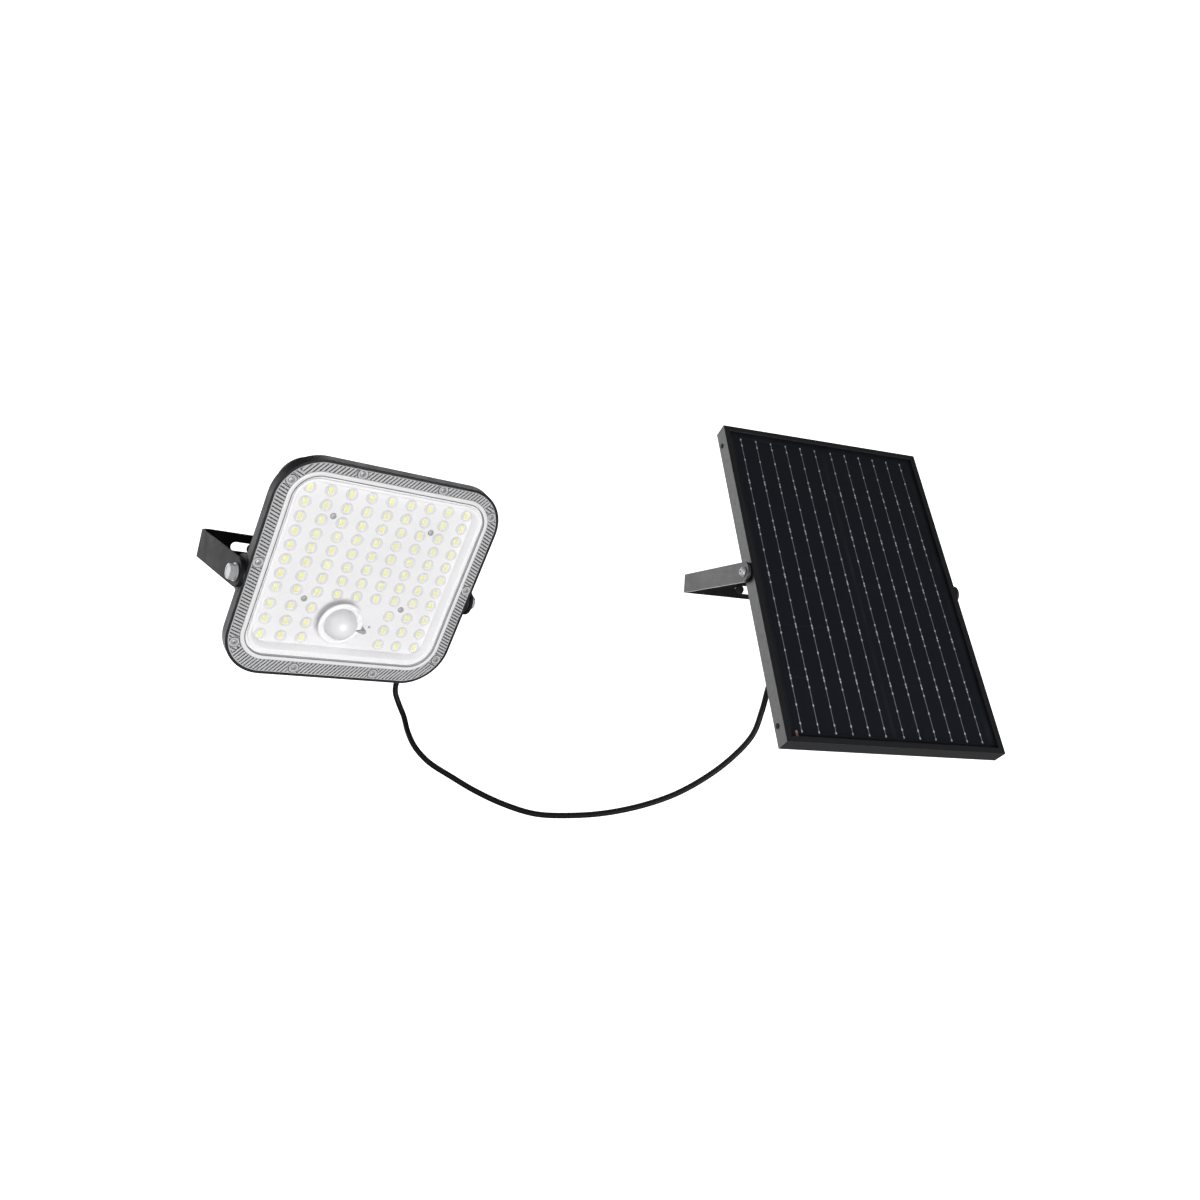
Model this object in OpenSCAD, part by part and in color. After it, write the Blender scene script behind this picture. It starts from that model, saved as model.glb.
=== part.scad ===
// Solar flood light: an LED lamp head and a separate solar panel, each tilting in
// its own U bracket, joined by one cable that hangs between them.
// +X runs along the panel's hinge, +Y into the wall, +Z up. The origin is the middle
// of the panel bracket's rear face.

/* [Lamp head] */
// Width of the lamp head's rim
rim_w = 228; // [220:1:236]
// Height of the lamp head's rim
rim_h = 217; // [210:1:224]
// Corner radius of the rim
rim_r = 42; // [36:1:46]
// Front to back depth of the lamp head
lamp_d = 49; // [44:1:56]
// Wall thickness of the moulded rear housing
shell_t = 3; // [2.5:0.1:4]
// Distance from the tilt axis forward to the rim's front face
rim_front = 10; // [8:0.5:12]
// Height of the rim's middle above the tilt axis
rim_up = 13.5; // [8:0.5:18]

/* [Light window] */
// Width of the raised clear window
window_w = 196; // [190:1:198]
// Height of the raised clear window
window_h = 182; // [176:1:188]
// Spacing of the LED columns
led_col = 20; // [18:0.5:21]
// Spacing of the LED rows
led_row = 14.3; // [13.6:0.1:14.6]
// Radius of the clear lens over each LED
lens_r = 6; // [5.2:0.1:6]
// Radius of the motion sensor's dome
dome_r = 16.5; // [13:0.5:17]

/* [Solar panel] */
// Width of the panel frame
panel_w = 240; // [230:1:250]
// Height of the panel frame
panel_h = 365; // [340:5:380]
// Depth of the panel frame
panel_t = 17; // [17:1:20]
// Wall thickness of the frame extrusion
rail_t = 1.4; // [1.2:0.1:1.6]
// Width of the frame's front lip
lip_w = 6; // [5:0.5:7]

/* [Brackets] */
// Length of the lamp bracket from its tilt axis to its rear face
lamp_arm = 113; // [105:1:125]
// Width of the lamp bracket's steel strip
lamp_strip = 26; // [24:1:27]
// Length of the panel bracket from its tilt axis to its rear face
panel_arm = 144; // [130:1:160]
// Width of the panel bracket's steel strip
panel_strip = 20; // [18:1:22]
// Thickness of both steel strips
strip_t = 3; // [2.5:0.5:3]
// Radius of the round fixing hole in the middle of each bracket
fixing_r = 4.5; // [4:0.25:5]

/* [Pose] */
// Tilt of the lamp's face below level
lamp_tilt = 32; // [28:1:36]
// Slope of the lamp bracket's arms
lamp_pitch = 18.5; // [15:0.5:22]
// Turn of the lamp bracket about the vertical
lamp_yaw = 19.5; // [16:0.5:22]
// Tilt of the panel's face above level
panel_tilt = 27; // [20:1:34]

/* [Cable] */
// Diameter of the two-core cable
cable_d = 5.8; // [5:0.1:6]

/* [Hidden] */
$fn = 48;

// Where the two tilt axes cross the middle of their brackets
panel_pivot = [0, -panel_arm, 0];
lamp_pivot = [-484, -64, -45];

// Lamp head levels, front to back, measured from the tilt axis
seat_y = -rim_front + 4;
led_y = -2;
board_y = led_y + 0.8;
board_t = 1.6;
tub_y = lamp_d - rim_front;
window_up = 16;
flange_w = rim_w - 5;
flange_h = rim_h - 5;
flange_r = rim_r - 2.5;
tub_w = 202;
tub_h = 190;
tub_r = 29;
tub_taper = 14;
gasket_w = tub_w - 5.4;
gasket_h = tub_h - 5.4;
gasket_r = tub_r - 2.7;

// LED grid: eight full rows, then three rows that leave room for the sensor
led_top = 91.5;
low_rows = [-25.6, -41.6, -57.6];
led_spots = concat(
    [for (r = [0:7], c = [-4:4]) [c * led_col, led_top - r * led_row]],
    [for (z = low_rows, c = [-4, -3, -2, 2, 3, 4]) [c * led_col, z]]);
board_screw_spots = [for (x = [-50, 50], z = [68, -17]) [x, z]];
cover_screw_spots = [for (s = [-1, 1])
    each [[s * 41, 115.3], [s * 41, -86], [s * 106.4, 17], [s * 101.6, 97.8], [s * 104.2, -64]]];
dome_spot = [-10.5, -35];
collar_r = 22;
light_spot = [14, -39.5];
dot_spot = [24, -39.5];

// Pivot hardware
lamp_bolt_r = 4;
panel_bolt_r = 2.5;
running_gap = 0.08;
lamp_boss_x = 114.3;
friction_t = 1.5;
lamp_in_x = lamp_boss_x + friction_t;
panel_in_x = panel_w / 2 + 1.5;

insert_r = 5.6;
insert_x = 101;
washer_t = 1.5;

// Battery tray, gland and junction box places
cell_r = 13;
cell_len = 65;
cell_axis_y = 22;
cell_rows = [70, 43, 16];
cradle_screw_spots = [for (x = [-35.6, 35.6], z = [56.5, 29.5]) [x, z]];
controller_y = 29;
controller_posts = [for (x = [-40, 40], z = [-55, -25]) [x, z]];
vent_r = 4;
vent_spot = [-54, -40];
gland_x = 92;
gland_y = 22;
gland_z = -78;
gland_r = 4;
box_x = -50;
box_z = 25;
box_w = 60;
box_h = 48;
box_t = 19;
box_gland_x = -70;
box_gland_y = 4.4;
relief_end_z = -36;
lid_screw_spots = [for (x = [-1, 1], z = [-1, 1])
    [box_x + x * (box_w / 2 - 4), box_z + z * (box_h / 2 - 4)]];

// Panel levels, front to back, measured from the tilt axis
panel_front = -10;
panel_back = panel_front + panel_t;
glass_y = panel_front + 1.7;
ribbon_y = panel_front + 4;
cell_y = panel_front + 4.2;
sheet_y = panel_front + 4.4;
ledge_y = panel_front + 4.9;
corner_screw_y = (panel_back + ledge_y) / 2;
panel_mid = -3;
sheet_w = panel_w - 2 * rail_t - 1;
sheet_h = panel_h - 2 * rail_t - 1;
web_x = 9;
flange_d = 14;
cell_col_x = 55;
cell_w = 106;
cell_h = 56;
cell_pitch = 57;
ribbon_pitch = 18;

// Slots in the two brackets, and the plugs pressed into them
slot_len = 40;
slot_r = 4.5;
lamp_bend_r = 12;
panel_bend_r = 5;
lamp_slot_x = 66;
lamp_plug_x = 65;
panel_slot_x = 41.5;
panel_plug_x = 56;

// The cable's route between the two strain reliefs, and its point of greatest sag
hanging_route = [
    [-423, 47, -141], [-418, 50, -152], [-412, 48, -165], [-408, 41, -180],
    [-401, 31, -195], [-388, 18, -209], [-368, 4, -221], [-344, -10, -234],
    [-317, -24, -245], [-288, -38, -252], [-257, -53, -251], [-225, -68, -246],
    [-192, -83, -236], [-162, -97, -222], [-136, -111, -203], [-115, -123, -182],
    [-100, -134, -159], [-95, -142, -134], [-92, -148, -109], [-87, -156, -87],
    [-79, -162, -69], [-73, -164, -54]];
sag_point = 10;

// ---- Placing ----

module in_lamp() {
    translate(lamp_pivot) rotate([lamp_tilt, 0, lamp_yaw]) children();
}

module in_lamp_bracket() {
    translate(lamp_pivot) rotate([lamp_pitch, 0, lamp_yaw]) children();
}

module in_panel() {
    translate(panel_pivot) rotate([-panel_tilt, 0, 0]) children();
}

module in_panel_bracket() {
    translate(panel_pivot) children();
}

// Stands a cylinder along +Y from y0 to y1 at [x, z]
module rod_y(r, y0, y1, at = [0, 0]) {
    translate([at[0], y1, at[1]]) rotate([90, 0, 0]) cylinder(r = r, h = y1 - y0);
}

// Stands a cylinder along +X from x0 to x1
module rod_x(r, x0, x1, at = [0, 0]) {
    translate([x0, at[0], at[1]]) rotate([0, 90, 0]) cylinder(r = r, h = x1 - x0);
}

// Repeats its children on the left and the right
module both_sides() {
    children();
    mirror([1, 0, 0]) children();
}

module round_plate(w, h, r) {
    square([w - 2 * r, h], center = true);
    square([w, h - 2 * r], center = true);
    for (x = [-1, 1], z = [-1, 1])
        translate([x * (w / 2 - r), z * (h / 2 - r)]) circle(r = r, $fn = 64);
}

// A rounded slab facing -Y, from y0 to y1, with its middle at height up
module slab(w, h, r, y0, y1, up) {
    translate([0, y1, up]) rotate([90, 0, 0]) linear_extrude(y1 - y0) round_plate(w, h, r);
}

// A tub that narrows towards its back
module tub(w, h, r, y0, y1, up) {
    k = tub_taper * (y1 - y0) / (tub_y - seat_y);
    hull() {
        slab(w, h, r, y0, y0 + 0.5, up, $fn = 32);
        slab(w - k, h - k, r - 2, y1 - 0.5, y1, up, $fn = 32);
    }
}

// ---- Lamp head ----

module lamp_housing() {
    cavity_w = tub_w - 2 * shell_t;
    cavity_h = tub_h - 2 * shell_t;
    color("#2b2c2f") in_lamp() difference() {
        union() {
            difference() {
                union() {
                    slab(rim_w, rim_h, rim_r, -rim_front, 0, rim_up);
                    tub(tub_w, tub_h, tub_r, seat_y, tub_y, window_up);
                    gland_pad();
                    cooling_ribs();
                }
                // seat for the cover's flange
                slab(flange_w + 0.6, flange_h + 0.6, flange_r + 0.3,
                    -rim_front - 1, seat_y, rim_up);
                tub(cavity_w, cavity_h, tub_r - shell_t, seat_y - 1, tub_y - shell_t, window_up);
            }
            for (s = cover_screw_spots) rod_y(3.6, seat_y, 7, s);
            for (s = board_screw_spots) rod_y(3.5, board_y + board_t, tub_y - 1, s);
            for (s = controller_posts) rod_y(2.6, controller_y + 1.6, tub_y - 1, s);
            both_sides() intersection() {
                rod_x(17, tub_w / 2 - shell_t, lamp_boss_x);
                translate([80, seat_y, -20]) cube([40, 40, 40]);
            }
        }
        for (s = cover_screw_spots) rod_y(1.3, seat_y - 1, 5.5, s);
        for (s = board_screw_spots) rod_y(1.2, board_y, board_y + 12, s);
        both_sides() rod_x(insert_r, insert_x, lamp_boss_x + 1);
        translate([gland_x, gland_y, gland_z - 1]) cylinder(r = gland_r, h = 27);
        rod_y(vent_r, tub_y - 6, tub_y + 6, vent_spot);
    }
}

// Pad that carries the cable gland
module gland_pad() {
    translate([gland_x - 10, gland_y - 11, gland_z]) cube([20, 22, 26]);
}

module cooling_ribs() {
    for (x = [-72:18:72])
        translate([x - 1.2, tub_y - 7, window_up - (x == -54 ? 10 : 68)])
            cube([2.4, 12, x == -54 ? 78 : 136]);
}

module lamp_cover() {
    front = -rim_front;
    color("#e9eef2", 0.45) in_lamp() difference() {
        union() {
            slab(flange_w, flange_h, flange_r, front, front + 2.6, rim_up);
            slab(window_w, window_h, 25, front - 1.4, front + 2.6, window_up);
        }
        slab(window_w - 6, window_h - 6, 22, front + 0.6, front + 3, window_up);
        rod_y(dome_r + 4, front - 5, front + 5, dome_spot);
        rod_y(2.4, front - 5, front + 5, light_spot);
        for (s = cover_screw_spots) rod_y(1.7, front - 1, front + 5, s);
    }
}

module cover_gasket() {
    color("#d8d8d4") in_lamp() difference() {
        slab(tub_w + 2.6, tub_h + 2.6, tub_r + 1.3, seat_y - 1.4, seat_y, window_up);
        slab(gasket_w, gasket_h, gasket_r, seat_y - 2, seat_y + 1, window_up);
    }
}

module cover_screws() {
    color("#8f9193") in_lamp() for (s = cover_screw_spots) difference() {
        union() {
            rod_y(2.9, -rim_front - 1.6, -rim_front, s);
            rod_y(1.3, -rim_front, 4, s);
        }
        rod_y(0.9, -rim_front - 2, -rim_front - 0.6, s);
    }
}

// White frame between the board's edge and the window, with a lip out to the gasket
module reflector_frame() {
    color("#f4f4f2") in_lamp() difference() {
        union() {
            slab(window_w - 7, window_h - 7, 21, -rim_front + 0.8, board_y, window_up);
            slab(gasket_w - 0.6, gasket_h - 0.6, gasket_r - 0.3, seat_y - 1.2, seat_y - 0.2,
                window_up);
        }
        slab(window_w - 13, window_h - 13, 18, -rim_front - 1, board_y + 1, window_up);
    }
}

module led_board() {
    color("#f6f6f4") in_lamp() difference() {
        slab(window_w - 9, window_h - 10, 20, board_y, board_y + board_t, window_up);
        rod_y(dome_r - 2, board_y - 1, board_y + 3, dome_spot);
        for (s = board_screw_spots) rod_y(1.7, board_y - 1, board_y + 3, s);
    }
}

module led_packages() {
    color("#fdfdf8") in_lamp() for (s = led_spots) difference() {
        translate([s[0] - 2.8, led_y, s[1] - 3.8]) cube([5.6, board_y - led_y, 7.6]);
        translate([s[0] - 2.3, led_y - 1, s[1] - 3.3]) cube([4.6, 1.3, 6.6]);
    }
}

module led_phosphors() {
    color("#f3ec6a") in_lamp() for (s = led_spots)
        translate([s[0] - 2.3, led_y + 0.1, s[1] - 3.3]) cube([4.6, 0.2, 6.6]);
}

// A clear lens over each package, with room for the package inside
module led_lenses() {
    color("#eef2f4", 0.5) in_lamp() for (s = led_spots) difference() {
        translate([s[0], board_y, s[1]]) rotate([90, 0, 0])
            cylinder(r1 = lens_r, r2 = lens_r - 1.6, h = 4, $fn = 32);
        translate([s[0] - 3, led_y - 0.4, s[1] - 4]) cube([6, board_y - led_y + 1, 8]);
    }
}

module board_screws() {
    color("#9a9c9e") in_lamp() for (s = board_screw_spots) difference() {
        union() {
            rod_y(3, board_y - 1.8, board_y, s);
            rod_y(1.2, board_y, board_y + 9, s);
        }
        rod_y(0.9, board_y - 2, board_y - 0.8, s);
    }
}

// Raised white ring that holds the dome in the window
module sensor_collar() {
    front = -rim_front - 1.4;
    color("#fbfbfa") in_lamp() difference() {
        union() {
            rod_y(collar_r, front - 1.2, front, dome_spot);
            rod_y(dome_r + 3.8, front, board_y, dome_spot);
        }
        rod_y(dome_r - 1.5, front - 2, board_y + 1, dome_spot);
        rod_y(dome_r + 0.2, front - 2, front + 1, dome_spot);
    }
}

// Hollow dome that focuses body heat on the motion sensor
module sensor_dome() {
    base = -rim_front - 0.4;
    color("#f2f2ee", 0.85) in_lamp() translate([dome_spot[0], base, dome_spot[1]])
        rotate([90, 0, 0]) rotate_extrude($fn = 64) {
            intersection() {
                translate([0, -2]) difference() {
                    circle(r = dome_r - 0.6);
                    circle(r = dome_r - 1.6);
                }
                square([dome_r, dome_r]);
            }
            translate([dome_r - 1.9, 0]) square([1.9, 1]);
        }
}

module motion_sensor() {
    color("#c9cacb") in_lamp() difference() {
        union() {
            rod_y(4.1, board_y + 0.4, board_y + 4.6, dome_spot);
            rod_y(4.6, board_y + 4, board_y + 4.6, dome_spot);
        }
        translate([dome_spot[0] - 2, board_y, dome_spot[1] - 1.5]) cube([4, 0.8, 3]);
    }
}

module sensor_board() {
    color("#2f6b3c") in_lamp() rod_y(12.5, board_y + 4.6, board_y + 6.2, dome_spot);
}

// Teardrop lens of the daylight sensor
module light_sensor() {
    front = -rim_front - 1.4;
    color("#9b9da0") in_lamp() {
        rod_y(2.3, front - 2, board_y, light_spot);
        translate([light_spot[0] - 9, front - 2, light_spot[1] - 1.2]) cube([9, 0.8, 2.4]);
    }
}

module status_lamp() {
    color("#8c8e91") in_lamp() rod_y(1.2, board_y - 1.5, board_y, dot_spot);
}

// ---- Battery and electronics ----

module battery_cells() {
    color("#3a6fb0") in_lamp() for (z = cell_rows) {
        rod_x(cell_r, -cell_len / 2, cell_len / 2, [cell_axis_y, z]);
        rod_x(5, cell_len / 2, cell_len / 2 + 1, [cell_axis_y, z]);
    }
}

module battery_cradle() {
    top = cell_rows[0] + cell_r + 3;
    low = cell_rows[len(cell_rows) - 1] - cell_r - 3;
    color("#1f2022") in_lamp() difference() {
        translate([-cell_len / 2 - 6, cell_axis_y + 2, low])
            cube([cell_len + 12, tub_y - shell_t - cell_axis_y - 2, top - low]);
        for (z = cell_rows) {
            rod_x(cell_r, -cell_len / 2, cell_len / 2, [cell_axis_y, z]);
            rod_x(5.2, cell_len / 2 - 1, cell_len / 2 + 1, [cell_axis_y, z]);
        }
        for (s = cradle_screw_spots) rod_y(1.6, cell_axis_y, tub_y, s);
    }
}

module cradle_screws() {
    color("#a5a7a9") in_lamp() for (s = cradle_screw_spots) {
        rod_y(2.6, cell_axis_y + 0.4, cell_axis_y + 2, s);
        rod_y(1.6, cell_axis_y + 2, tub_y - shell_t, s);
    }
}

module controller_board() {
    color("#205a34") in_lamp() difference() {
        translate([-45, controller_y, -60]) cube([90, 1.6, 42]);
        for (s = board_screw_spots) rod_y(4.2, controller_y - 1, controller_y + 3, s);
    }
}

module controller_parts() {
    color("#2a2a2c") in_lamp() {
        translate([-30, controller_y - 9, -52]) cube([14, 9, 14]);
        translate([2, controller_y - 3, -34]) cube([9, 3, 7]);
        translate([18, controller_y - 8, -56]) cube([20, 8, 9]);
        for (x = [-8, 26]) rod_y(4, controller_y - 12, controller_y, [x, -32]);
    }
}

module vent_plug() {
    color("#232425") in_lamp() {
        rod_y(vent_r - 0.1, tub_y - 6, tub_y, vent_spot);
        rod_y(7, tub_y, tub_y + 3.5, vent_spot);
    }
}

// ---- Lamp cable gland ----

module lamp_gland() {
    color("#1d1e1f") in_lamp() translate([gland_x, gland_y, gland_z]) {
        translate([0, 0, -3]) rotate(30) cylinder(r = 8, h = 3, $fn = 6);
        translate([0, 0, -1]) cylinder(r = gland_r - 0.1, h = 15);
    }
}

module lamp_gland_nut() {
    color("#1d1e1f") in_lamp() translate([gland_x, gland_y, gland_z - 8])
        rotate_extrude() polygon([[0, 0], [5.4, 0], [7.2, 1.6], [7.2, 5], [0, 5]]);
}

module lamp_relief() {
    color("#161718") in_lamp() translate([gland_x, gland_y, gland_z - 28])
        rotate_extrude() polygon([[0, 0], [3.2, 0], [4.6, 20], [0, 20]]);
}

// ---- Lamp pivots and bracket ----

module pivot_inserts() {
    color("#b9903f") in_lamp() both_sides() difference() {
        rod_x(insert_r, insert_x, lamp_boss_x);
        rod_x(lamp_bolt_r, insert_x + 1.5, lamp_boss_x + 1);
    }
}

module friction_washers() {
    color("#303134") in_lamp() both_sides() difference() {
        rod_x(11, lamp_boss_x, lamp_in_x - 0.05);
        rod_x(lamp_bolt_r, lamp_boss_x - 1, lamp_in_x + 1);
    }
}

module lamp_washers() {
    start = lamp_in_x + strip_t + 0.05;
    color("#cfd1d3") in_lamp() both_sides() difference() {
        rod_x(8.3, start, start + washer_t);
        rod_x(lamp_bolt_r, start - 1, start + washer_t + 1);
    }
}

module lamp_bolts() {
    seat = lamp_in_x + strip_t + 0.05 + washer_t;
    color("#c4c6c8") in_lamp() both_sides() {
        rod_x(lamp_bolt_r, insert_x + 3, seat);
        translate([seat, 0, 0]) rotate([0, 90, 0]) rotate(12) cylinder(r = 7.5, h = 5.3, $fn = 6);
    }
}

// Flat strip bent to a U: arms along Y, crossbar at the rear
module bent_strip(in_x, arm, strip, bend_r, bolt_r, slot_x) {
    out_x = in_x + strip_t;
    difference() {
        union() {
            translate([0, 0, -strip / 2]) linear_extrude(strip) difference() {
                u_outline(out_x, arm, bend_r);
                u_outline(in_x, arm - strip_t, bend_r - strip_t);
            }
            both_sides() rod_x(strip / 2, in_x, out_x);
        }
        both_sides() rod_x(bolt_r + running_gap, in_x - 1, out_x + 1);
        rod_y(fixing_r, arm - strip_t - 1, arm + 1);
        both_sides() {
            for (e = [-1, 1])
                rod_y(slot_r, arm - strip_t - 1, arm + 1, [slot_x + e * (slot_len / 2 - slot_r), 0]);
            translate([slot_x - slot_len / 2 + slot_r, arm - strip_t - 1, -slot_r])
                cube([slot_len - 2 * slot_r, strip_t + 2, 2 * slot_r]);
        }
    }
}

module u_outline(half, depth, r) {
    translate([-half, 0]) square([2 * half, depth - r]);
    translate([-half + r, 0]) square([2 * half - 2 * r, depth]);
    for (s = [-1, 1]) translate([s * (half - r), depth - r]) circle(r = r);
}

// Round rubber plug held in a slot
module slot_plug(x, arm) {
    both_sides() {
        rod_y(slot_r - 0.1, arm - strip_t, arm - 0.5, [x, 0]);
        rod_y(slot_r + 0.9, arm - strip_t - 1.6, arm - strip_t, [x, 0]);
    }
}

module lamp_bracket() {
    color("#3b3c3f") in_lamp_bracket()
        bent_strip(lamp_in_x, lamp_arm, lamp_strip, lamp_bend_r, lamp_bolt_r, lamp_slot_x);
}

module lamp_bracket_plugs() {
    color("#141415") in_lamp_bracket() slot_plug(lamp_plug_x, lamp_arm);
}

// ---- Solar panel ----

// Section of the frame extrusion: x runs inward, y runs back
module rail_section() {
    translate([0, panel_front]) square([rail_t, panel_t]);
    translate([0, panel_front]) square([lip_w, rail_t]);
    translate([0, ledge_y]) square([web_x, 1]);
    translate([web_x, ledge_y]) square([rail_t, panel_back - ledge_y]);
    translate([0, panel_back - rail_t]) square([flange_d, rail_t]);
}

// A rail of the given length standing along Z, mitred at both ends
module rail(length) {
    intersection() {
        translate([0, 0, -length / 2]) linear_extrude(length) rail_section();
        translate([0, panel_back + 1, 0]) rotate([90, 0, 0]) linear_extrude(panel_t + 2)
            polygon([[0, -length / 2], [0, length / 2],
                [flange_d + 1, length / 2 - flange_d - 1],
                [flange_d + 1, -length / 2 + flange_d + 1]]);
    }
}

module rail_left() {
    color("#6c6d70") in_panel() difference() {
        translate([-panel_w / 2, 0, panel_mid]) rail(panel_h);
        rod_x(panel_bolt_r + 0.1, -panel_w / 2 - 1, -panel_w / 2 + rail_t + 1);
        corner_screw_holes(-1);
    }
}

module rail_right() {
    color("#6c6d70") in_panel() difference() {
        mirror([1, 0, 0]) translate([-panel_w / 2, 0, panel_mid]) rail(panel_h);
        rod_x(panel_bolt_r + 0.1, panel_w / 2 - rail_t - 1, panel_w / 2 + 1);
        corner_screw_holes(1);
    }
}

module rail_bottom() {
    color("#3a3b3e") in_panel() translate([0, 0, panel_mid - panel_h / 2])
        rotate([0, -90, 0]) rail(panel_w);
}

module rail_top() {
    color("#6c6d70") in_panel() translate([0, 0, panel_mid + panel_h / 2])
        rotate([0, 90, 0]) rail(panel_w);
}

// L keys pressed into the hollow corners of the frame
module corner_keys() {
    deep = panel_back - rail_t - ledge_y - 1;
    wide = web_x - rail_t;
    color("#a8aaad") in_panel() both_sides() for (s = [-1, 1])
        translate([0, 0, panel_mid]) scale_z(s)
            translate([panel_w / 2 - rail_t - 34, ledge_y + 1, panel_h / 2 - rail_t - wide]) {
                cube([34, deep, wide]);
                translate([34 - wide, 0, -34 + wide]) cube([wide, deep, 34]);
            }
}

module scale_z(s) {
    if (s > 0) children();
    else mirror([0, 0, 1]) children();
}

module corner_screw_holes(side) {
    for (s = [-1, 1])
        translate([side * (panel_w / 2), 0, panel_mid + s * (panel_h / 2 - 20)])
            rod_x(1.5, -3, 3, [corner_screw_y, 0]);
}

module corner_screws() {
    color("#3c3d40") in_panel() both_sides() for (s = [-1, 1])
        translate([panel_w / 2, corner_screw_y, panel_mid + s * (panel_h / 2 - 20)]) {
            rod_x(1.5, -rail_t, 0);
            rod_x(2.6, 0, 0.8);
        }
}

module panel_glass() {
    color("#0d1118", 0.5) in_panel()
        slab(sheet_w, sheet_h, 1, glass_y, ribbon_y - 0.1, panel_mid);
}

module frame_sealant() {
    color("#1a1a1b") in_panel() difference() {
        slab(sheet_w, sheet_h, 1, glass_y - 0.3, glass_y, panel_mid);
        slab(panel_w - 2 * lip_w + 1, panel_h - 2 * lip_w + 1, 1, glass_y - 1, glass_y + 1, panel_mid);
    }
}

module solar_cells() {
    color("#0b0d14") in_panel() for (x = [-cell_col_x, cell_col_x], k = [0:5])
        translate([x - cell_w / 2, cell_y, panel_mid + (k - 3) * cell_pitch + 0.5])
            cube([cell_w, sheet_y - cell_y, cell_h]);
}

// Thin soldered ribbons, six down each column of cells
module cell_ribbons() {
    color("#b8bcc2") in_panel() for (x = [-cell_col_x, cell_col_x], k = [0:5])
        translate([x + (k - 2.5) * ribbon_pitch - 0.45, ribbon_y, panel_mid - 3 * cell_pitch])
            cube([0.9, cell_y - ribbon_y, 6 * cell_pitch]);
}

// Wide ribbons that join the two columns, and the copper tab at one corner
module end_ribbons() {
    color("#8d6a52") in_panel() {
        translate([-cell_col_x - 46, ribbon_y, panel_mid + 3 * cell_pitch])
            cube([2 * cell_col_x + 92, cell_y - ribbon_y, 2.5]);
        for (s = [-1, 1])
            translate([s * cell_col_x - 46, ribbon_y, panel_mid - 3 * cell_pitch - 2.5])
                cube([92, cell_y - ribbon_y, 2.5]);
        translate([-109, ribbon_y, panel_mid - 3 * cell_pitch - 4]) cube([5, cell_y - ribbon_y, 2]);
    }
}

module back_sheet() {
    color("#17181a") in_panel()
        slab(sheet_w, sheet_h, 1, sheet_y, ledge_y, panel_mid);
}

// ---- Junction box ----

module junction_box() {
    base = ledge_y + 0.8;
    color("#1b1c1d") in_panel() difference() {
        slab_at(box_w, box_h, 4, base, base + box_t - 2, [box_x, box_z]);
        slab_at(box_w - 5, box_h - 5, 2, base + 2, base + box_t, [box_x, box_z]);
        translate([box_gland_x, box_gland_y, box_z - box_h / 2 - 1]) cylinder(r = 3.4, h = 6);
        for (s = lid_screw_spots) rod_y(1.2, base + 8, base + box_t, s);
    }
}

module slab_at(w, h, r, y0, y1, at) {
    translate([at[0], 0, 0]) slab(w, h, r, y0, y1, at[1]);
}

// Adhesive pad between the junction box and the back sheet
module junction_seal() {
    color("#d9d9d6") in_panel()
        slab_at(box_w - 2, box_h - 2, 3, ledge_y, ledge_y + 0.8, [box_x, box_z]);
}

module junction_lid() {
    base = ledge_y + 0.8 + box_t - 2;
    color("#222324") in_panel() difference() {
        slab_at(box_w, box_h, 4, base, base + 2, [box_x, box_z]);
        for (s = lid_screw_spots) rod_y(1.5, base - 1, base + 3, s);
    }
}

module lid_screws() {
    base = ledge_y + 0.8 + box_t;
    color("#a2a4a6") in_panel() for (s = lid_screw_spots) difference() {
        union() {
            rod_y(1.2, base - 8, base, s);
            rod_y(2.4, base, base + 1.2, s);
        }
        rod_y(0.8, base + 0.5, base + 2, s);
    }
}

module junction_diode() {
    color("#2c2c2e") in_panel() {
        rod_x(2.7, box_x - 8, box_x + 2, [ledge_y + 7, box_z + 8]);
        rod_x(0.6, box_x - 11, box_x + 5, [ledge_y + 7, box_z + 8]);
    }
}

module junction_terminals() {
    color("#c8b68a") in_panel() for (x = [-14, 8])
        translate([box_x + x - 3, ledge_y + 2.8, box_z - 6]) cube([6, 5, 16]);
}

module junction_gland_nut() {
    low = box_z - box_h / 2;
    color("#1d1e1f") in_panel() translate([box_gland_x, box_gland_y, low - 15]) {
        rotate_extrude() polygon([[0, 0], [5.4, 0], [6.8, 1.6], [6.8, 12], [0, 12]]);
        translate([0, 0, 12]) cylinder(r = 3.3, h = 5.5);
        translate([0, 0, 12]) rotate(30) cylinder(r = 7.4, h = 3, $fn = 6);
    }
}

module junction_relief() {
    color("#161718") in_panel() translate([box_gland_x, box_gland_y, relief_end_z])
        rotate_extrude() polygon([[0, 0], [3.2, 0], [4.6, 22], [0, 22]]);
}

// ---- Panel pivots and bracket ----

module panel_spacers() {
    color("#202123") in_panel() both_sides() difference() {
        rod_x(7, panel_w / 2, panel_in_x - 0.05);
        rod_x(panel_bolt_r, panel_w / 2 - 1, panel_in_x + 1);
    }
}

module panel_washers() {
    start = panel_in_x + strip_t + 0.05;
    color("#d4d6d8") in_panel() both_sides() difference() {
        rod_x(5, start, start + 0.8);
        rod_x(panel_bolt_r, start - 1, start + 2);
    }
}

module panel_bolts() {
    seat = panel_in_x + strip_t + 0.85;
    color("#dfe1e3") in_panel() both_sides() difference() {
        union() {
            rod_x(panel_bolt_r, panel_w / 2 - 7, seat);
            rod_x(4.6, seat, seat + 2.8);
        }
        rod_x(1.5, seat + 1.2, seat + 4);
    }
}

module panel_nuts() {
    color("#b4b6b8") in_panel() both_sides() difference() {
        translate([panel_w / 2 - rail_t - 4, 0, 0]) rotate([0, 90, 0])
            cylinder(r = 4.6, h = 4, $fn = 6);
        rod_x(panel_bolt_r, panel_w / 2 - 10, panel_w / 2);
    }
}

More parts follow.
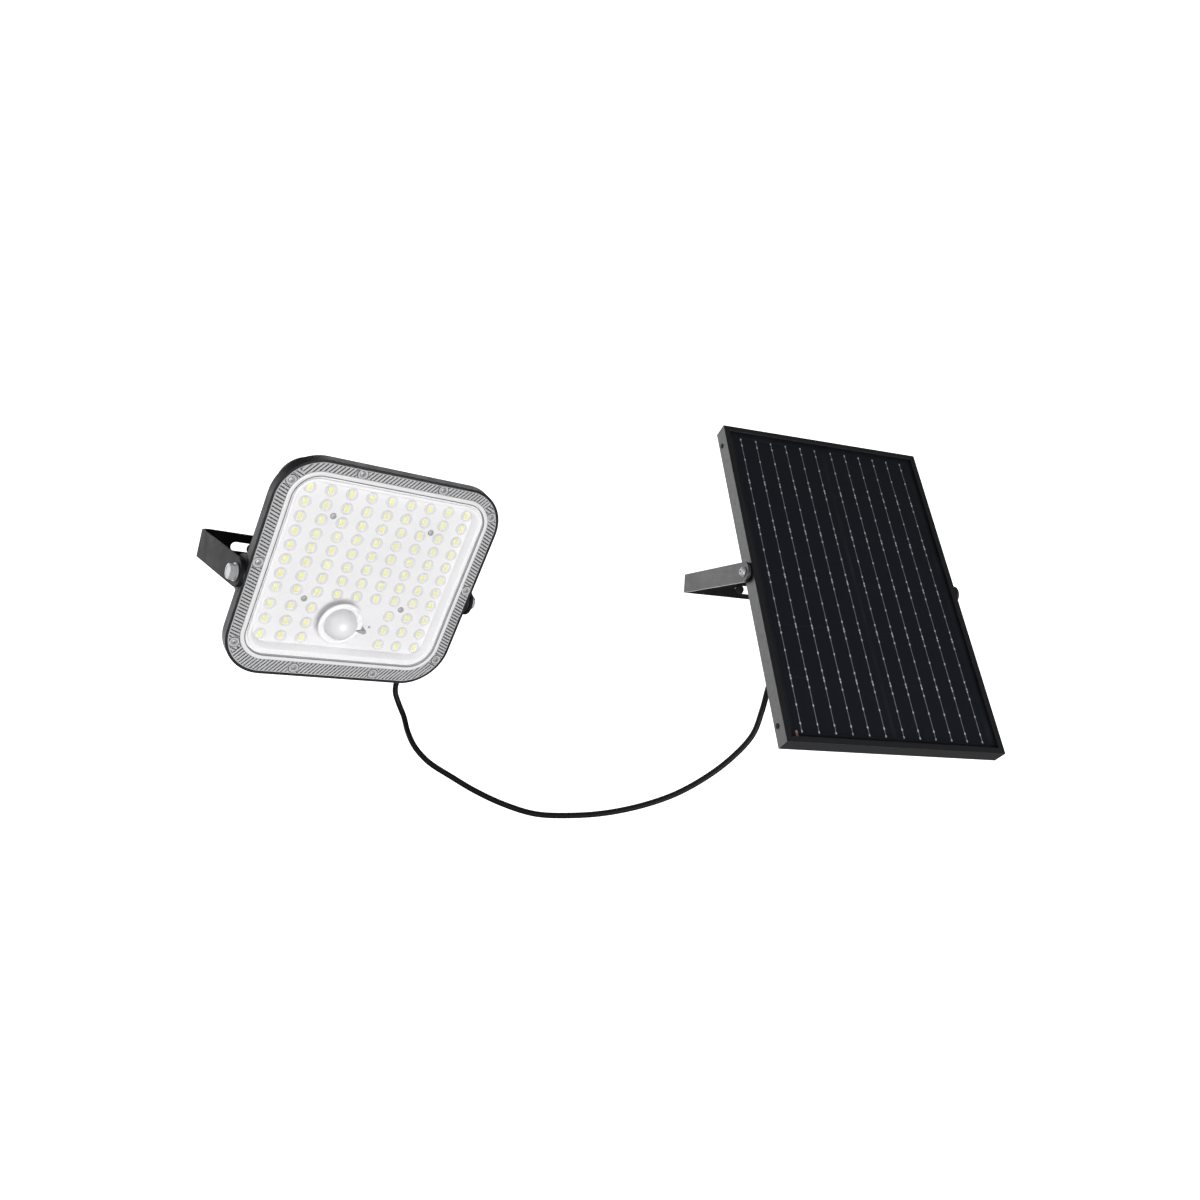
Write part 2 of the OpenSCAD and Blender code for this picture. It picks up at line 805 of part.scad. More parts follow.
module panel_bracket() {
    color("#6a6b6e") in_panel_bracket()
        bent_strip(panel_in_x, panel_arm, panel_strip, panel_bend_r, panel_bolt_r, panel_slot_x);
}

module panel_bracket_plugs() {
    color("#141415") in_panel_bracket() slot_plug(panel_plug_x, panel_arm);
}

// ---- Cable ----

function turn_x(p, a) =
    [p[0], p[1] * cos(a) - p[2] * sin(a), p[1] * sin(a) + p[2] * cos(a)];
function turn_z(p, a) =
    [p[0] * cos(a) - p[1] * sin(a), p[0] * sin(a) + p[1] * cos(a), p[2]];
function lamp_point(p) = lamp_pivot + turn_z(turn_x(p, lamp_tilt), lamp_yaw);
function panel_point(p) = panel_pivot + turn_x(p, -panel_tilt);
function unit(v) = v / norm(v);

// Rounds the corners of a route: a smooth curve through its points
function curve_at(a, b, c, d, t) =
    (2 * b + (c - a) * t + (2 * a - 5 * b + 4 * c - d) * t * t
        + (3 * b - a - 3 * c + d) * t * t * t) / 2;
function smooth(route, parts) = let (last = len(route) - 1) concat(
    [for (i = [0:last - 1], k = [0:parts - 1]) curve_at(
        route[max(i - 1, 0)], route[i], route[i + 1], route[min(i + 2, last)], k / parts)],
    [route[last]]);
function heading(route, i) = let (last = len(route) - 1)
    unit(route[min(i + 1, last)] - route[max(i - 1, 0)]);
function ring(centre, along, r, sides) =
    let (across = unit(cross(along, [0.31, 0.83, 0.46])), up = cross(across, along))
    [for (k = [0:sides - 1]) centre
        + r * (cos(360 * k / sides) * across + sin(360 * k / sides) * up)];

// One closed tube along a route; its ends are cut square to first_dir and last_dir
module tube(route, r, sides, first_dir, last_dir) {
    rings = len(route);
    points = [for (i = [0:rings - 1])
        each ring(route[i],
            i == 0 ? first_dir : i == rings - 1 ? last_dir : heading(route, i), r, sides)];
    walls = [for (i = [0:rings - 2], k = [0:sides - 1])
        let (n = (k + 1) % sides, a = i * sides, b = a + sides)
        each [[a + k, a + n, b + n], [a + k, b + n, b + k]]];
    caps = [[for (k = [sides - 1:-1:0]) k],
        [for (k = [0:sides - 1]) (rings - 1) * sides + k]];
    polyhedron(points = points, faces = concat(walls, caps));
}

// The whole line: 10 mm straight out of each strain relief, and the route between
cable_line = smooth(concat(
    [for (e = [0, 10]) lamp_point([gland_x, gland_y, gland_z - 28 - e])],
    hanging_route,
    [for (e = [10, 0]) panel_point([box_gland_x, box_gland_y, relief_end_z - e])]), 2);
cable_split = 2 * (sag_point + 2);

// The line's direction where it is cut; at its two ends it is the strain relief's axis
function cut_heading(i) = let (last = len(cable_line) - 1)
    unit(cable_line[min(i + 2, last)] - cable_line[max(i - 2, 0)]);

// Part of the cable between two of its line's points
module cable_part(first, last) {
    tube([for (i = [first:last]) cable_line[i]], cable_d / 2, 10,
        cut_heading(first), cut_heading(last));
}

module cable_lamp_side() {
    color("#18191a") cable_part(0, cable_split);
}

module cable_panel_side() {
    color("#18191a") cable_part(cable_split, len(cable_line) - 1);
}

// ---- Drawing ----

lamp_housing();
lamp_cover();
cover_gasket();
cover_screws();
reflector_frame();
led_board();
led_packages();
led_phosphors();
led_lenses();
board_screws();
sensor_collar();
sensor_dome();
motion_sensor();
sensor_board();
light_sensor();
status_lamp();
battery_cells();
battery_cradle();
cradle_screws();
controller_board();
controller_parts();
vent_plug();
lamp_gland();
lamp_gland_nut();
lamp_relief();
pivot_inserts();
friction_washers();
lamp_washers();
lamp_bolts();
lamp_bracket();
lamp_bracket_plugs();
rail_left();
rail_right();
rail_top();
rail_bottom();
corner_keys();
corner_screws();
panel_glass();
solar_cells();
cell_ribbons();
end_ribbons();
back_sheet();
frame_sealant();
junction_box();
junction_seal();
junction_lid();
lid_screws();
junction_diode();
junction_terminals();
junction_gland_nut();
junction_relief();
panel_spacers();
panel_washers();
panel_bolts();
panel_nuts();
panel_bracket();
panel_bracket_plugs();
cable_lamp_side();
cable_panel_side();
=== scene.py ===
import math
import bmesh
import bpy
from mathutils import Euler, Matrix, Vector


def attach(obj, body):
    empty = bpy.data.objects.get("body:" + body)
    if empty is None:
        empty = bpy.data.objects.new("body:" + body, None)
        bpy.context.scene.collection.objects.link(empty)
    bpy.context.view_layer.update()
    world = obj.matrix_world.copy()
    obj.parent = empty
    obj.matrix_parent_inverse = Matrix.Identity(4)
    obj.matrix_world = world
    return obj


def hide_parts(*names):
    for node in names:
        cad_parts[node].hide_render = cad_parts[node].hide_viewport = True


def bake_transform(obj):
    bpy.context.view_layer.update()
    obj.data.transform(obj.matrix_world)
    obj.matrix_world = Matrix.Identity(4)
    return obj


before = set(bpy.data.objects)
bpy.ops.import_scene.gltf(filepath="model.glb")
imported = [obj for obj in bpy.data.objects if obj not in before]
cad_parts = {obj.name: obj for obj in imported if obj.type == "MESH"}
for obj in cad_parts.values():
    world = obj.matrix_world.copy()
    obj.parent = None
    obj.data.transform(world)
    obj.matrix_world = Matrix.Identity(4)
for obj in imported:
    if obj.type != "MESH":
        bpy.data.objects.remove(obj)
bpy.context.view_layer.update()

MM = 0.001
RIGHT = Matrix.Rotation(math.radians(90), 4, "Y")
LEFT = Matrix.Rotation(math.radians(-90), 4, "Y")
FRONT = Matrix.Rotation(math.radians(90), 4, "X")
ROW = Matrix.Identity(4)


# ---- Local frames: X right, Y back, Z up, in millimetres from a pivot ----

def local_frame(pivot, tilt, turn=0.0):
    """The frame of a part at its pivot, tilted about X after a turn about Z, in degrees."""
    return (Matrix.Translation(Vector(pivot))
            @ Matrix.Rotation(math.radians(turn), 4, "Z")
            @ Matrix.Rotation(math.radians(tilt), 4, "X"))


LAMP_PIVOT = (-484, -64, -45)
PANEL_PIVOT = (0, -144, 0)
LAMP = local_frame(LAMP_PIVOT, 32, 19.5)
LAMP_BRACKET = local_frame(LAMP_PIVOT, 18.5, 19.5)
PANEL = local_frame(PANEL_PIVOT, -27)
PANEL_BRACKET = local_frame(PANEL_PIVOT, 0)

# Lamp sizes; a rounded rectangle is width, height, corner radius, height of its middle
FLANGE = (223, 212, 39.5, 13.5)
RIBBED = (203.4, 191, 28.7, 15.7)
PANE = (193, 180.6, 23.5, 15.7)
FLANGE_Y = -10
FLANGE_BACK_Y = FLANGE_Y + 2.6
PANE_BACK_Y = FLANGE_Y + 0.6
RIDGE_PITCH = 3.9
SIDE_PITCH = RIDGE_PITCH * 0.85
RIDGE_SLANT = 0.75
SIDE_SLANT = 0.4
RIDGE_RISE = 0.35
WINDOW_Y = -11.4
LED_Y = -2
LED_SPOTS = ([(c * 20, 91.5 - r * 14.3) for r in range(8) for c in range(-4, 5)]
             + [(c * 20, z) for z in (-25.6, -41.6, -57.6) for c in (-4, -3, -2, 2, 3, 4)])
BOARD_SCREWS = [(x, z) for x in (-50, 50) for z in (68, -17)]
COVER_SCREWS = [(s * x, z) for s in (-1, 1)
                for x, z in ((41, 115.3), (41, -86), (106.4, 17), (101.6, 97.8), (104.2, -64))]
DOME_SPOT = (-10.5, -35)
DOME_R = 15.9
COLLAR_R = 22
LIGHT_SPOT = (14, -39.5)
DOT_SPOT = (24, -39.5)
GLAND = (92, 22, -78)
LAMP_RELIEF_END = (GLAND[0], GLAND[1], GLAND[2] - 28)
LAMP_SEAT_X = 118.85
LAMP_PLUG = (65, 113)

# Panel sizes
PANEL_SEAT_X = 124.55
PANEL_PLUG = (56, 144)
PANEL_MID = -3
CELL_PITCH = 57
CELLS_LOW = PANEL_MID - 3 * CELL_PITCH
CELLS_HIGH = PANEL_MID + 3 * CELL_PITCH
RIBBON_Y = -6
BOX_GLAND = (-70, 4.4, 1)
PANEL_RELIEF_END = (-70, 4.4, -36)


# ---- Meshes ----

class Shape:
    """Points and faces of one piece, in a local frame, in millimetres."""

    def __init__(self):
        self.points = []
        self.faces = []
        self.marks = []

    def ring(self, points):
        """Adds points and gives their numbers."""
        start = len(self.points)
        self.points.extend(Vector(p) for p in points)
        return list(range(start, start + len(points)))

    def face(self, corners, mark=0):
        self.faces.append(tuple(corners))
        self.marks.append(mark)

    def bridge(self, a, b, mark=0):
        """Quads between two rings of the same count."""
        for i in range(len(a)):
            j = (i + 1) % len(a)
            self.face((a[i], a[j], b[j], b[i]), mark)

    def fan(self, ring, tip, mark=0):
        """Triangles from a ring to one point."""
        middle = self.ring([tip])[0]
        for i in range(len(ring)):
            self.face((ring[i], ring[(i + 1) % len(ring)], middle), mark)

    def stack(self, rings, mark=0, closed=True):
        """Joins rings of points one after another; closed caps both ends."""
        made = [self.ring(r) for r in rings]
        for a, b in zip(made, made[1:]):
            self.bridge(a, b, mark)
        if closed:
            for k in (0, -1):
                tip = sum((Vector(p) for p in rings[k]), Vector()) / len(rings[k])
                self.fan(made[k], tip, mark)
        return made

    def turned(self, place, profile, sides=32, radius=None, mark=0):
        """Turns (radius, height) pairs about the local Z of place."""
        self.stack([turned_ring(place, r, h, sides, radius) for r, h in profile], mark)

    def block(self, low, high, bevel=0.3, mark=0):
        """A box with chamfered edges, as stacked eight-cornered rings along Y."""
        cx, cz = (low[0] + high[0]) / 2, (low[2] + high[2]) / 2
        hx, hz = (high[0] - low[0]) / 2, (high[2] - low[2]) / 2
        rings = []
        for y, inset in ((low[1], bevel), (low[1] + bevel, 0),
                         (high[1] - bevel, 0), (high[1], bevel)):
            rings.append(corner_ring(cx, cz, hx - inset, hz - inset, bevel, y))
        self.stack(rings, mark)


def turned_ring(place, r, h, sides, radius=None):
    """A circle about the local Z of place; radius(angle, r, h) may reshape it."""
    ring = []
    for k in range(sides):
        a = 2 * math.pi * k / sides
        reach = radius(a, r, h) if radius else r
        ring.append(place @ Vector((reach * math.cos(a), reach * math.sin(a), h)))
    return ring


def corner_ring(cx, cz, hx, hz, cut, y):
    """A rectangle with its four corners cut off, seen from the front."""
    points = []
    for sx, sz in ((1, 1), (-1, 1), (-1, -1), (1, -1)):
        first = (sx * hx, sz * (hz - cut))
        second = (sx * (hx - cut), sz * hz)
        pair = (first, second) if sx * sz > 0 else (second, first)
        points += [Vector((cx + x, y, cz + z)) for x, z in pair]
    return points


def outline(size, y, grow=0.0, side_steps=12, corner_steps=8):
    """Points round a rounded rectangle (width, height, radius, middle) facing front."""
    w, h, r, up = size
    r = r + grow
    hx, hz = w / 2 + grow - r, h / 2 + grow - r
    points = []
    corners = ((1, 1, 0), (-1, 1, 90), (-1, -1, 180), (1, -1, 270))
    for n, (sx, sz, start) in enumerate(corners):
        centre = Vector((sx * hx, y, up + sz * hz))
        for k in range(corner_steps):
            a = math.radians(start + 90 * k / corner_steps)
            points.append(centre + Vector((r * math.cos(a), 0, r * math.sin(a))))
        last = centre + Vector((r * math.cos(math.radians(start + 90)), 0,
                                r * math.sin(math.radians(start + 90))))
        nx, nz, nstart = corners[(n + 1) % 4]
        a = math.radians(nstart)
        goal = Vector((nx * hx + r * math.cos(a), y, up + nz * hz + r * math.sin(a)))
        for k in range(side_steps):
            points.append(last.lerp(goal, k / side_steps))
    return points


def make(name, shape, place, materials, body, replaced=(), smooth=35):
    """One piece from a shape: placed in the row frame, shaded, and riding on its body."""
    mesh = bpy.data.meshes.new(name)
    mesh.from_pydata([place @ p * MM for p in shape.points], [], shape.faces)
    built = bmesh.new()
    built.from_mesh(mesh)
    for mark, face in zip(shape.marks, built.faces):
        face.material_index = mark
    bmesh.ops.remove_doubles(built, verts=built.verts, dist=1e-7)
    bmesh.ops.recalc_face_normals(built, faces=built.faces)
    for face in built.faces:
        face.smooth = True
    for edge in built.edges:
        if len(edge.link_faces) == 2 and edge.calc_face_angle() > math.radians(smooth):
            edge.smooth = False
    built.to_mesh(mesh)
    built.free()
    for material in materials:
        mesh.materials.append(material)
    piece = bpy.data.objects.new(name, mesh)
    bpy.context.scene.collection.objects.link(piece)
    if body:
        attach(piece, body)
    if replaced:
        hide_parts(*replaced)
    return piece


# ---- Materials ----

ROUGH_SPREAD = 0.12


def add_node(tree, kind, values):
    """A shader node with these input values."""
    node = tree.nodes.new("ShaderNode" + kind)
    for socket, value in values.items():
        node.inputs[socket].default_value = value
    return node


def multiply(tree, source, factor, operation="MULTIPLY"):
    node = add_node(tree, "Math", {1: factor})
    node.operation = operation
    tree.links.new(source, node.inputs[0])
    return node


def mix_in(tree, colour_out, factor_out, pale):
    """Mixes one paler colour into another by a factor."""
    mixed = tree.nodes.new("ShaderNodeMix")
    mixed.data_type = "RGBA"
    tree.links.new(factor_out, mixed.inputs["Factor"])
    tree.links.new(colour_out, mixed.inputs["A"])
    mixed.inputs["B"].default_value = (*pale, 1)
    return mixed.outputs["Result"]


def add_wear(tree, colour_out, colour, wear):
    """Lighter colour along outer edges."""
    shape = tree.nodes.new("ShaderNodeNewGeometry")
    edge = add_node(tree, "MapRange", {"From Min": 0.52, "From Max": 0.62})
    tree.links.new(shape.outputs["Pointiness"], edge.inputs["Value"])
    amount = multiply(tree, edge.outputs["Result"], wear)
    pale = [min(1.0, c * 3 + 0.05) for c in colour]
    return mix_in(tree, colour_out, amount.outputs[0], pale)


def add_dust(tree, colour_out, where, dust):
    """A faint pale bloom in broad patches."""
    cloud = add_node(tree, "TexNoise", {"Scale": 24, "Detail": 8})
    tree.links.new(where.outputs["Object"], cloud.inputs["Vector"])
    level = add_node(tree, "MapRange", {"From Min": 0.45, "From Max": 0.8, "To Max": dust})
    tree.links.new(cloud.outputs["Fac"], level.inputs["Value"])
    return mix_in(tree, colour_out, level.outputs["Result"], (0.42, 0.42, 0.43))


def add_fine_grain(tree, scaled, relief, fine):
    """A second, cellular grain, as on a spark-textured mould or powder coat."""
    cells = add_node(tree, "TexVoronoi", {"Scale": 1600})
    tree.links.new(scaled.outputs["Vector"], cells.inputs["Vector"])
    over = add_node(tree, "Bump", {"Strength": fine, "Distance": 0.00015})
    tree.links.new(cells.outputs["Distance"], over.inputs["Height"])
    tree.links.new(over.outputs["Normal"], relief.inputs["Normal"])


def add_tint(tree, patches, grit, colour, spread):
    """The base colour, mottled by the broad patches and the fine grit."""
    tint = tree.nodes.new("ShaderNodeValToRGB")
    ends = ((0.3, [max(0.0, c * (1 - spread)) for c in colour]),
            (0.7, [min(1.0, c * (1 + spread)) for c in colour]))
    for stop, (position, shade) in zip(tint.color_ramp.elements, ends):
        stop.position = position
        stop.color = (*shade, 1)
    blend = multiply(tree, patches.outputs["Fac"], 0.6, "MULTIPLY_ADD")
    part = multiply(tree, grit.outputs["Fac"], 0.4)
    tree.links.new(part.outputs[0], blend.inputs[2])
    tree.links.new(blend.outputs[0], tint.inputs["Fac"])
    return tint.outputs["Color"]


def make_material(name, colour, rough=0.5, metal=0.0, grain=900.0, spread=0.12, bump=0.12,
                  stretch=(1, 1, 1), fine=0.0, coat=0.0, alpha=1.0, specular=0.5, wear=0.0,
                  dust=0.0):
    """A procedural material: mottled colour, uneven gloss, surface grain, worn edges."""
    material = bpy.data.materials.new(name)
    material.use_nodes = True
    tree = material.node_tree
    link = tree.links.new
    shader = tree.nodes["Principled BSDF"]
    shader.inputs["Metallic"].default_value = metal
    shader.inputs["Coat Weight"].default_value = coat
    shader.inputs["Coat Roughness"].default_value = 0.12
    shader.inputs["Specular IOR Level"].default_value = specular
    shader.inputs["Alpha"].default_value = alpha
    where = tree.nodes.new("ShaderNodeTexCoord")
    scaled = add_node(tree, "Mapping", {"Scale": stretch})
    link(where.outputs["Object"], scaled.inputs["Vector"])
    patches = add_node(tree, "TexNoise", {"Scale": grain / 12, "Detail": 6})
    grit = add_node(tree, "TexNoise", {"Scale": grain, "Detail": 4})
    for texture in (patches, grit):
        link(scaled.outputs["Vector"], texture.inputs["Vector"])
    colour_out = add_tint(tree, patches, grit, colour, spread)
    if wear:
        colour_out = add_wear(tree, colour_out, colour, wear)
    if dust:
        colour_out = add_dust(tree, colour_out, where, dust)
    link(colour_out, shader.inputs["Base Color"])
    gloss = add_node(tree, "MapRange", {"To Min": max(0.02, rough - ROUGH_SPREAD),
                                        "To Max": min(1.0, rough + ROUGH_SPREAD)})
    link(patches.outputs["Fac"], gloss.inputs["Value"])
    link(gloss.outputs["Result"], shader.inputs["Roughness"])
    relief = add_node(tree, "Bump", {"Strength": bump, "Distance": 0.0002})
    link(grit.outputs["Fac"], relief.inputs["Height"])
    link(relief.outputs["Normal"], shader.inputs["Normal"])
    if fine:
        add_fine_grain(tree, scaled, relief, fine)
    return material


BRUSHED = (1, 1, 0.04)
FINISHES = {
    "housing_black": dict(colour=(0.011, 0.0115, 0.013), rough=0.5, fine=0.25, wear=0.2,
                          dust=0.02, specular=0.16),
    "cover_clear": dict(colour=(0.86, 0.87, 0.9), rough=0.12, alpha=0.1, bump=0.03, spread=0.03),
    "white_plastic": dict(colour=(0.88, 0.87, 0.88), rough=0.32, spread=0.02, bump=0.04),
    "board_white": dict(colour=(0.81, 0.795, 0.80), rough=0.5, spread=0.02, bump=0.08, grain=1500),
    "package_white": dict(colour=(0.92, 0.92, 0.9), rough=0.35, spread=0.03, bump=0.05),
    "phosphor": dict(colour=(0.88, 0.85, 0.16), rough=0.45, spread=0.1, grain=4000, bump=0.2),
    "zinc_steel": dict(colour=(0.44, 0.445, 0.45), rough=0.42, metal=0.35, spread=0.12, bump=0.06,
                       grain=1400),
    "silicone": dict(colour=(0.62, 0.62, 0.6), rough=0.6, spread=0.05, bump=0.1),
    "dome_milky": dict(colour=(0.74, 0.74, 0.75), rough=0.3, spread=0.02, bump=0.03),
    "sensor_can": dict(colour=(0.6, 0.6, 0.61), rough=0.3, metal=1.0),
    "board_green": dict(colour=(0.02, 0.12, 0.05), rough=0.35, spread=0.2, coat=0.4),
    "smoke_lens": dict(colour=(0.35, 0.35, 0.36), rough=0.25, spread=0.06, bump=0.04),
    "cell_wrap": dict(colour=(0.03, 0.1, 0.36), rough=0.3, spread=0.1, coat=0.3),
    "inner_black": dict(colour=(0.014, 0.014, 0.015), rough=0.55, fine=0.15),
    "rubber_black": dict(colour=(0.012, 0.012, 0.013), rough=0.6, bump=0.2, dust=0.05),
    "nylon_black": dict(colour=(0.013, 0.014, 0.015), rough=0.42, fine=0.12, wear=0.15),
    "brass": dict(colour=(0.6, 0.42, 0.16), rough=0.3, metal=1.0, stretch=BRUSHED),
    "bracket_paint": dict(colour=(0.006, 0.006, 0.007), rough=0.6, fine=0.25, wear=0.15,
                          dust=0.02, specular=0.1),
    "bracket_grey": dict(colour=(0.015, 0.015, 0.017), rough=0.45, fine=0.2, wear=0.2,
                         dust=0.02, specular=0.38),
    "frame_anodised": dict(colour=(0.006, 0.0062, 0.007), rough=0.4, bump=0.05, spread=0.2,
                           grain=2500, fine=0.06, wear=0.25, specular=0.42),
    "key_alu": dict(colour=(0.55, 0.56, 0.57), rough=0.35, metal=1.0, stretch=BRUSHED),
    "panel_glass": dict(colour=(0.014, 0.018, 0.028), rough=0.1, alpha=0.14, spread=0.02, bump=0.01,
                        specular=0.15),
    "silicon": dict(colour=(0.0042, 0.0055, 0.0085), rough=0.35, spread=0.3, bump=0.05, grain=2500),
    "ribbon": dict(colour=(0.40, 0.41, 0.43), rough=0.45, metal=0.2, spread=0.12, bump=0.15,
                   grain=2500),
    "ribbon_copper": dict(colour=(1.0, 0.5, 0.4), rough=0.4, metal=0.2, spread=0.15),
    "back_black": dict(colour=(0.010, 0.011, 0.0135), rough=0.45, spread=0.15, bump=0.1, dust=0.03),
    "sealant": dict(colour=(0.012, 0.012, 0.012), rough=0.5, bump=0.2),
    "terminal": dict(colour=(0.5, 0.42, 0.2), rough=0.3, metal=1.0),
    "cable_jacket": dict(colour=(0.005, 0.005, 0.0055), rough=0.55, bump=0.06, spread=0.2,
                         specular=0.15),
}
MATERIALS = {name: make_material(name + "_look", **facts) for name, facts in FINISHES.items()}
RIBBED_CLEAR = make_material("ribbed_clear", (0.46, 0.46, 0.465), rough=0.55,
                             spread=0.08, bump=0.04, specular=0.25)
MILKY_CLEAR = make_material("milky_clear", (0.86, 0.85, 0.85), rough=0.25, alpha=0.85,
                            spread=0.02, bump=0.03)
TRAY_WHITE = make_material("tray_white", (0.91, 0.9, 0.905), rough=0.4, spread=0.02, bump=0.04)
# Painted shadow: the dark lines drawn at the ribs' inner edge and in the groove by the window.
SHADE_LINE = make_material("shade_line", (0.14, 0.14, 0.145), rough=0.4, spread=0.08, bump=0.05)
LENS_CLEAR = make_material("lens_clear", (0.9, 0.9, 0.88), rough=0.08, alpha=0.12,
                           spread=0.03, bump=0.02, specular=0.8)
# Painted shade: a grey tint on the lower walls of the clear lenses.
LENS_WALL_PAINTED_SHADE = make_material("lens_wall_painted_shade", (0.6, 0.6, 0.6), rough=0.12, alpha=0.1,
                          spread=0.05, bump=0.02, specular=0.8)
# Painted shade: the dark colour drawn on one flank of each ridge and round each screw boss of the
# flange.
RIDGE_SHADE = make_material("ridge_shade", (0.045, 0.045, 0.047), rough=0.6,
                            spread=0.2, bump=0.04, specular=0.2)
SOLDER = make_material("solder", (0.92, 0.92, 0.93), rough=0.4, metal=0.1, spread=0.06,
                       bump=0.1, grain=2500)
DARK_STEEL = make_material("dark_steel", (0.30, 0.30, 0.31), rough=0.4, metal=0.3,
                           spread=0.12, bump=0.06, grain=1400)


EDGE = {"lamp_housing": 0.6, "lamp_bracket": 0.4, "panel_bracket": 0.4, "rail_left": 0.35,
        "rail_right": 0.35, "rail_top": 0.35, "rail_bottom": 0.35, "junction_box": 0.5,
        "junction_lid": 0.5, "vent_plug": 0.5, "solar_cells": 0.02, "back_sheet": 0.02,
        "panel_glass": 0.1, "led_board": 0.1, "frame_sealant": 0.05}
USUAL_EDGE = 0.2


def finish_nodes():
    """Each carried-over CAD node: eased edges, smooth curves and its slot's material."""
    for name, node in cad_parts.items():
        slots = node.data.materials
        for k, old in enumerate(slots):
            slots[k] = MATERIALS[old.name.split(".")[0]]
        imported = node.data.attributes.get("custom_normal")
        if imported:
            node.data.attributes.remove(imported)
        for polygon in node.data.polygons:
            polygon.use_smooth = True
        node.data.set_sharp_from_angle(angle=math.radians(32))
        weld = node.modifiers.new("weld", "WELD")
        weld.merge_threshold = 1e-6
        plane = node.modifiers.new("plane", "DECIMATE")
        plane.decimate_type = "DISSOLVE"
        plane.angle_limit = math.radians(0.5)
        ease = node.modifiers.new("ease", "BEVEL")
        ease.width = EDGE.get(name, USUAL_EDGE) * MM
        ease.segments = 2
        ease.limit_method = "ANGLE"
        ease.angle_limit = math.radians(35)
        ease.use_clamp_overlap = True
        flat = node.modifiers.new("flat", "WEIGHTED_NORMAL")
        flat.mode = "FACE_AREA"
        flat.keep_sharp = True


# ---- Camera, light and backdrop ----

def add_camera():
    data = bpy.data.cameras.new("camera")
    data.lens = 33
    data.sensor_width = 36
    data.clip_end = 50
    camera = bpy.data.objects.new("camera", data)
    camera.location = Vector((-620.2, -1107.0, -139.3)) * MM
    camera.rotation_euler = Euler([math.radians(a) for a in (95.45, -3.72, -20.21)], "XYZ")
    bpy.context.scene.collection.objects.link(camera)
    bpy.context.scene.camera = camera


def add_light(name, at, aim, width, height, power):
    """A rectangular area light at one point, aimed at another, in metres."""
    data = bpy.data.lights.new(name, "AREA")
    data.shape = "RECTANGLE"
    data.size = width
    data.size_y = height
    data.energy = power
    light = bpy.data.objects.new(name, data)
    light.location = at
    light.rotation_euler = (Vector(aim) - Vector(at)).to_track_quat("-Z", "Y").to_euler()
    bpy.context.scene.collection.objects.link(light)


def add_lights():
    world = bpy.data.worlds.new("studio")
    bpy.context.scene.world = world
    world.use_nodes = True
    sky = world.node_tree.nodes["Background"]
    sky.inputs["Color"].default_value = (0.95, 0.96, 1, 1)
    sky.inputs["Strength"].default_value = 0.15
    lamp = (-0.48, -0.07, -0.04)
    panel = (0.0, -0.14, -0.02)
    add_light("left_back", (-1.05, 0.85, 0.1), (-0.35, -0.1, 0.0), 1.2, 1.2, 13.5)
    add_light("face_fill", (-0.05, -1.45, -0.95), lamp, 0.9, 0.9, 31)
    add_light("top_back", (-0.1, 0.95, 1.15), (-0.3, -0.1, 0), 0.9, 0.7, 5)
    add_light("left_front", (-1.6, -0.9, 0.5), (-0.4, -0.1, 0), 0.7, 0.7, 7)
    add_light("rear_fill", (0.9, 1.3, -0.2), panel, 1.0, 1.0, 10)


def add_stage():
    """A pale floor and a white backdrop, seen by the camera and by no other ray."""
    white = bpy.data.materials.new("backdrop_white")
    white.use_nodes = True
    shader = white.node_tree.nodes["Principled BSDF"]
    shader.inputs["Base Color"].default_value = (0.9, 0.9, 0.9, 1)
    shader.inputs["Emission Color"].default_value = (1, 1, 1, 1)
    shader.inputs["Emission Strength"].default_value = 1.4
    shell = Shape()
    radius, floor_radius, floor_z = 6000, 2500, -600
    steps = [math.radians(a) for a in range(-90, 91, 10)]
    shell.stack([[(radius * math.cos(v) * math.cos(2 * math.pi * k / 32) + 1e-3 * k,
                   radius * math.cos(v) * math.sin(2 * math.pi * k / 32),
                   radius * math.sin(v)) for k in range(32)] for v in steps[1:-1]])
    floor = Shape()
    floor.fan(floor.ring(turned_ring(ROW, floor_radius, floor_z, 48)), (0, 0, floor_z))
    for name, shape in (("backdrop", shell), ("floor", floor)):
        mesh = bpy.data.meshes.new(name)
        mesh.from_pydata([p * MM for p in shape.points], [], shape.faces)
        mesh.materials.append(white)
        obj = bpy.data.objects.new(name, mesh)
        bpy.context.scene.collection.objects.link(obj)
        obj.visible_diffuse = False
        obj.visible_glossy = False
        obj.visible_shadow = False
        obj.visible_volume_scatter = False


# ---- Cable ----

HANGING_ROUTE = [
    (-423, 47, -141), (-418, 50, -152), (-412, 48, -165), (-408, 41, -180),
    (-401, 31, -195), (-388, 18, -209), (-368, 4, -221), (-344, -10, -234),
    (-317, -24, -245), (-288, -38, -252), (-257, -53, -251), (-225, -68, -246),
    (-192, -83, -236), (-162, -97, -222), (-136, -111, -203), (-115, -123, -182),
    (-100, -134, -159), (-95, -142, -134), (-92, -148, -109), (-87, -156, -87),
    (-79, -162, -69), (-73, -164, -54)]
SAG_POINT = 10
CABLE_D = 5.8
CURVE_STEPS = 6


def curve_at(a, b, c, d, t):
    """A point between b and c on the smooth curve through four points."""
    return (2 * b + (c - a) * t + (2 * a - 5 * b + 4 * c - d) * t * t
            + (3 * b - a - 3 * c + d) * t ** 3) / 2


def smooth_route(route):
    """The route with CURVE_STEPS points for each of its steps."""
    last = len(route) - 1
    line = []
    for i in range(last):
        a, b, c, d = route[max(i - 1, 0)], route[i], route[i + 1], route[min(i + 2, last)]
        line += [curve_at(a, b, c, d, k / CURVE_STEPS) for k in range(CURVE_STEPS)]
    return line + [route[last]]


